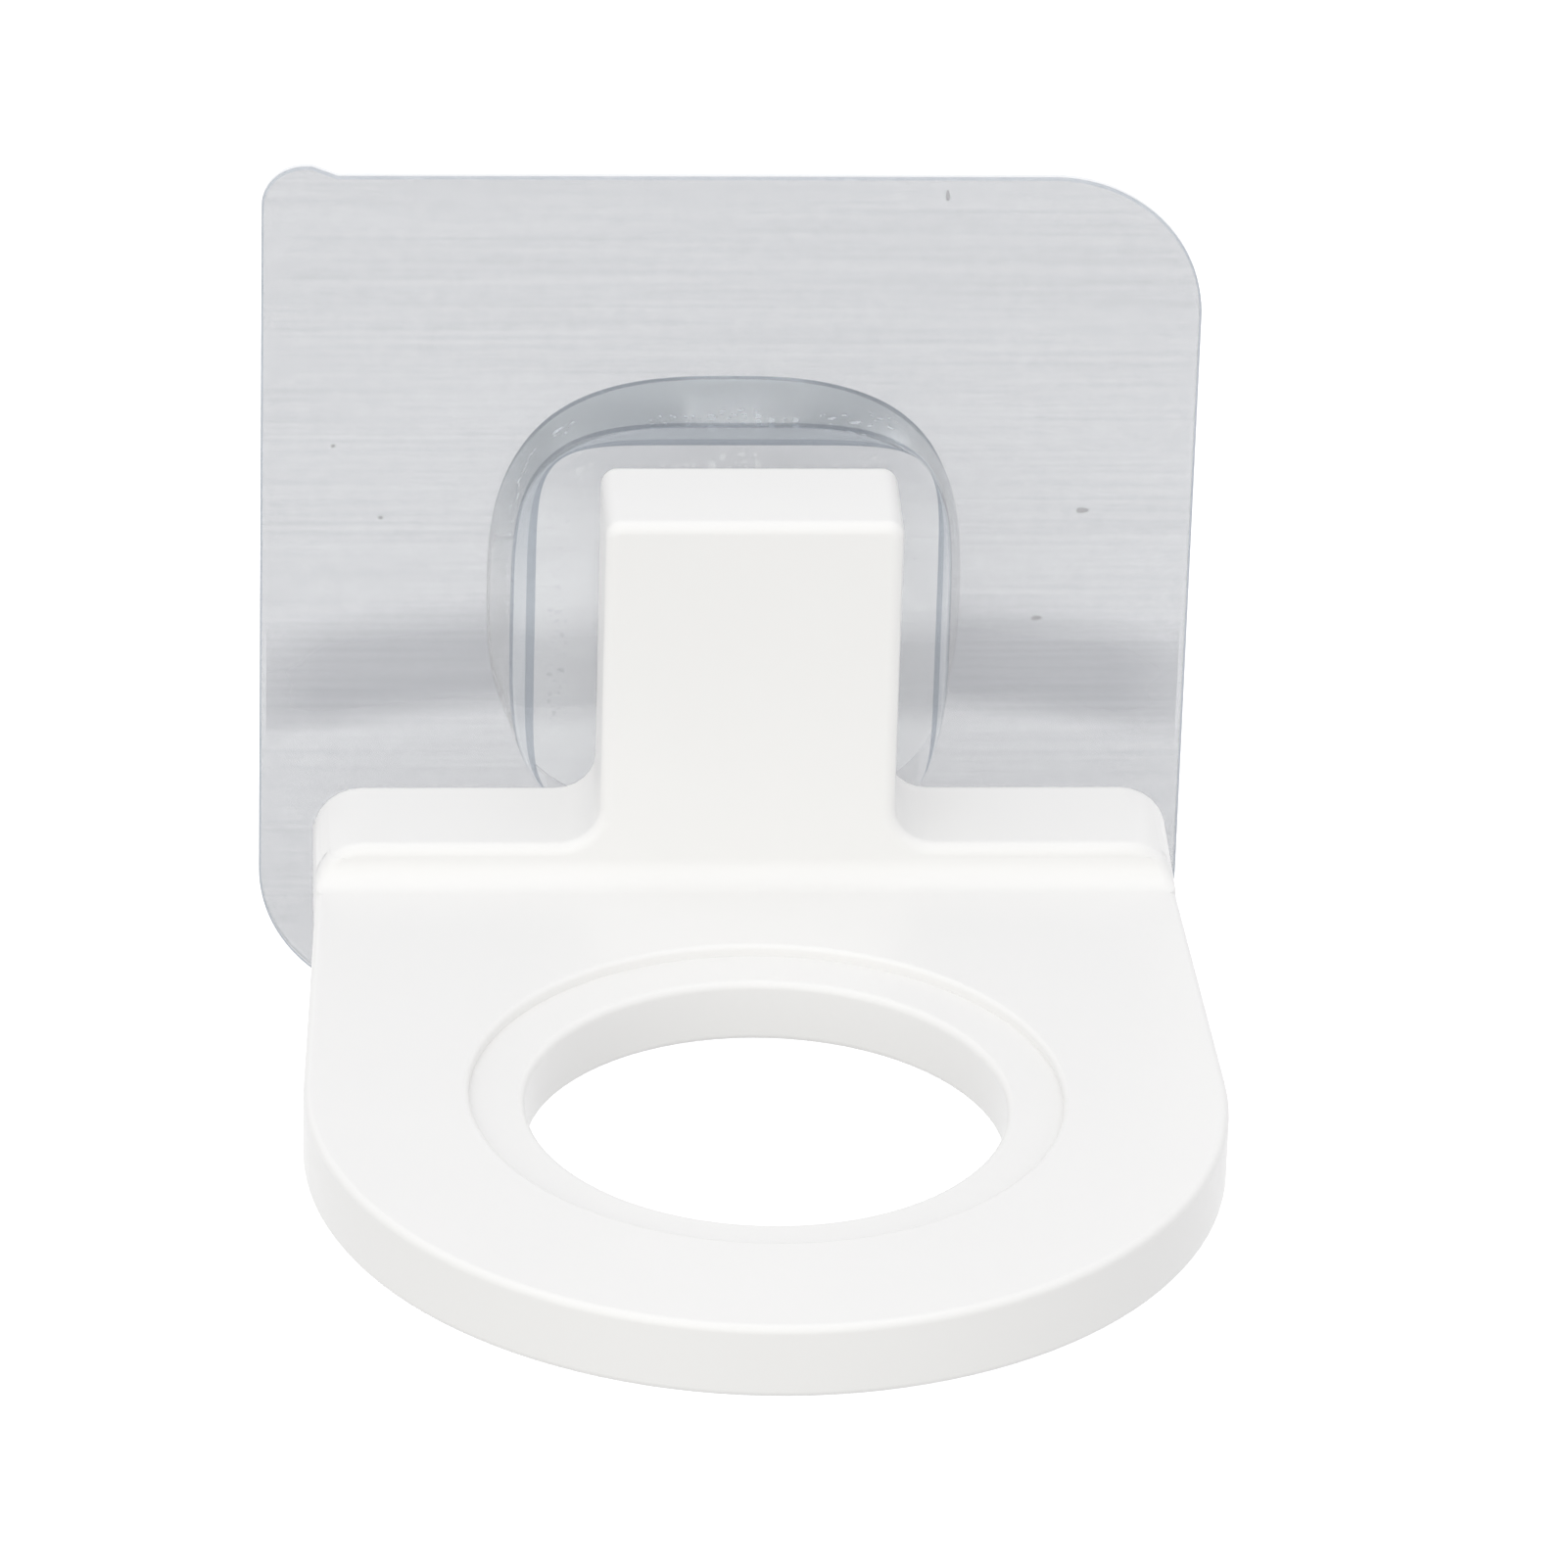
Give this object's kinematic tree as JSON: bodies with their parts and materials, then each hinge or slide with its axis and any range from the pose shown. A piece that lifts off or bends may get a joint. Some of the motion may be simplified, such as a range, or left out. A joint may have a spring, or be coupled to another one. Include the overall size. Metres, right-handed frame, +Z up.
{
  "type": "shower bottle holder",
  "caption": "White moulded shelf with a round neck hole that hangs a bottle; its tongue hooks onto a clear seat on a square clear adhesive wall pad.",
  "frame": {"origin": "centre of the pad's back, in the plane of the wall", "axes": "+Y into the wall, +Z up, +X to the right when facing the wall; the shelf reaches out along -Y"},
  "size_m": [0.07, 0.0828, 0.0702],
  "materials": {
    "liner_clear": "clear, thin",
    "adhesive_clear": "clear gel",
    "film_clear": "clear, fine level lines, glossy",
    "bond_clear": "clear glue with small bubbles",
    "seat_clear": "clear, polished",
    "white_plastic": "glossy white"
  },
  "bodies": {
    "wall_pad": {"carrier_film": "film_clear", "adhesive_layer": "adhesive_clear", "seat_bond": "bond_clear", "seat": "seat_clear"},
    "bottle_hanger": {"holder": "white_plastic"},
    "liner": {"release_liner": "liner_clear"}
  },
  "joints": [
    {"name": "holder_lift", "type": "slide", "parent": "wall_pad", "child": "bottle_hanger", "axis": [0, 0, 1], "range_m": [0, 0.033]},
    {"name": "liner_peel", "type": "slide", "parent": "wall_pad", "child": "liner", "axis": [0, 1, 0], "range_m": [0, 0.02]}
  ]
}
